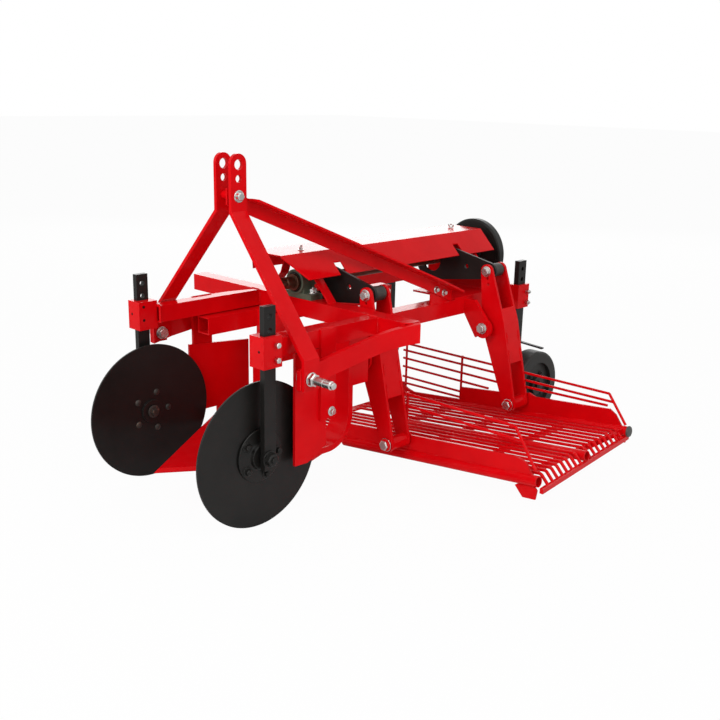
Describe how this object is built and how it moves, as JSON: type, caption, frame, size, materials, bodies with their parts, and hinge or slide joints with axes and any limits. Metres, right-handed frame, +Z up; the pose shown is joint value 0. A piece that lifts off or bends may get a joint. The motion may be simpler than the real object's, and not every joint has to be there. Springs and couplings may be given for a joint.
{
  "type": "mounted vibrating potato digger",
  "caption": "Three-point-mounted digger: V-shaped share, side discs and a swinging rod sieve driven by an eccentric shaft under a folded cover, with gauge wheels behind.",
  "frame": {"origin": "midway between the two lower hitch pins, on their axis", "axes": "+X forward to the tractor, +Y to the machine's left, +Z up"},
  "size_m": [1.5296, 1.2866, 0.9049],
  "materials": {
    "red_paint": "glossy red enamel on welded steel",
    "black_paint": "satin black paint on steel",
    "tyre": "black painted steel gauge wheel",
    "green_paint": "grey-green painted cast housing",
    "zinc": "bright zinc plated steel",
    "shaft_steel": "bare steel with light brown rust film"
  },
  "bodies": {
    "frame": {"mast_left": "red_paint", "mast_right": "red_paint", "mast_spacer": "zinc", "mast_brace": "red_paint", "brace_upright": "red_paint", "hitch_arm_left": "red_paint", "hitch_arm_right": "red_paint", "hitch_pin_left": "zinc", "hitch_pin_right": "zinc", "front_beam": "red_paint", "left_rail": "red_paint", "right_rail": "red_paint", "right_wheel_rail": "red_paint", "rear_deck": "red_paint", "share": "red_paint", "shank_hanger_left": "red_paint", "shank_hanger_right": "red_paint", "shank_left": "red_paint", "shank_right": "red_paint", "side_plate_left": "red_paint", "side_plate_right": "red_paint", "plate_hanger_left": "red_paint", "plate_hanger_right": "red_paint", "disc_bar_left": "red_paint", "disc_bar_right": "red_paint", "disc_clamp_left": "red_paint", "disc_clamp_right": "red_paint", "disc_post_left": "black_paint", "disc_post_right": "black_paint", "wheel_clamp_left": "red_paint", "wheel_clamp_right": "red_paint", "wheel_post_left": "black_paint", "wheel_post_right": "black_paint", "bearing_front": "green_paint", "bearing_rear": "green_paint", "shaft_cover": "red_paint", "cover_struts": "red_paint", "rocker_bracket_front": "red_paint", "rocker_bracket_rear": "red_paint"},
    "disc_left": {"disc_left": "black_paint"},
    "disc_right": {"disc_right": "black_paint"},
    "wheel_left": {"wheel_left": "tyre"},
    "wheel_right": {"wheel_right": "tyre"},
    "crank": {"crankshaft": "shaft_steel", "flywheel": "black_paint"},
    "rocker_front": {"rocker_front": "red_paint"},
    "rocker_rear": {"rocker_rear": "red_paint"},
    "conrod_front": {"conrod_front": "black_paint"},
    "conrod_rear": {"conrod_rear": "black_paint"},
    "sieve": {"sieve_rods": "red_paint", "sieve_plate_front": "red_paint", "sieve_plate_rear": "red_paint", "sieve_guard_front": "red_paint", "sieve_guard_rear": "red_paint"}
  },
  "joints": [
    {"name": "disc_left_spin", "type": "hinge", "parent": "frame", "child": "disc_left", "pos_m": [0.0886, 0.2314, -0.197], "axis": [0, 1, 0], "continuous": true},
    {"name": "disc_right_spin", "type": "hinge", "parent": "frame", "child": "disc_right", "pos_m": [0.0886, -0.2314, -0.197], "axis": [0, 1, 0], "continuous": true},
    {"name": "wheel_left_spin", "type": "hinge", "parent": "frame", "child": "wheel_left", "pos_m": [-1.137, 0.197, -0.271], "axis": [0, 1, 0], "continuous": true},
    {"name": "wheel_right_spin", "type": "hinge", "parent": "frame", "child": "wheel_right", "pos_m": [-1.137, -0.523, -0.271], "axis": [0, 1, 0], "continuous": true},
    {"name": "crank_spin", "type": "hinge", "parent": "frame", "child": "crank", "pos_m": [-0.6, -0.069, 0.1437], "axis": [1, 0, 0], "continuous": true},
    {"name": "rocker_front_swing", "type": "hinge", "parent": "frame", "child": "rocker_front", "pos_m": [-0.402, 0.152, -0.046], "axis": [1, 0, 0], "range_deg": [-2.3, 2.3]},
    {"name": "rocker_rear_swing", "type": "hinge", "parent": "frame", "child": "rocker_rear", "pos_m": [-0.936, 0.184, -0.038], "axis": [1, 0, 0], "range_deg": [-2.3, 2.3]},
    {"name": "sieve_swing", "type": "hinge", "parent": "rocker_front", "child": "sieve", "pos_m": [-0.402, 0.248, -0.282], "axis": [1, 0, 0], "range_deg": [-2.3, 2.3]},
    {"name": "conrod_front_eye", "type": "hinge", "parent": "rocker_front", "child": "conrod_front", "pos_m": [-0.402, 0.154, 0.131], "axis": [1, 0, 0], "range_deg": [-2.3, 2.3]},
    {"name": "conrod_rear_eye", "type": "hinge", "parent": "rocker_rear", "child": "conrod_rear", "pos_m": [-0.936, 0.167, 0.138], "axis": [1, 0, 0], "range_deg": [-2.3, 2.3]}
  ],
  "couplings": [
    {"joint": "rocker_rear_swing", "follows": "rocker_front_swing", "ratio": 1},
    {"joint": "sieve_swing", "follows": "rocker_front_swing", "ratio": -1},
    {"joint": "conrod_front_eye", "follows": "rocker_front_swing", "ratio": -1},
    {"joint": "conrod_rear_eye", "follows": "rocker_front_swing", "ratio": -1}
  ]
}
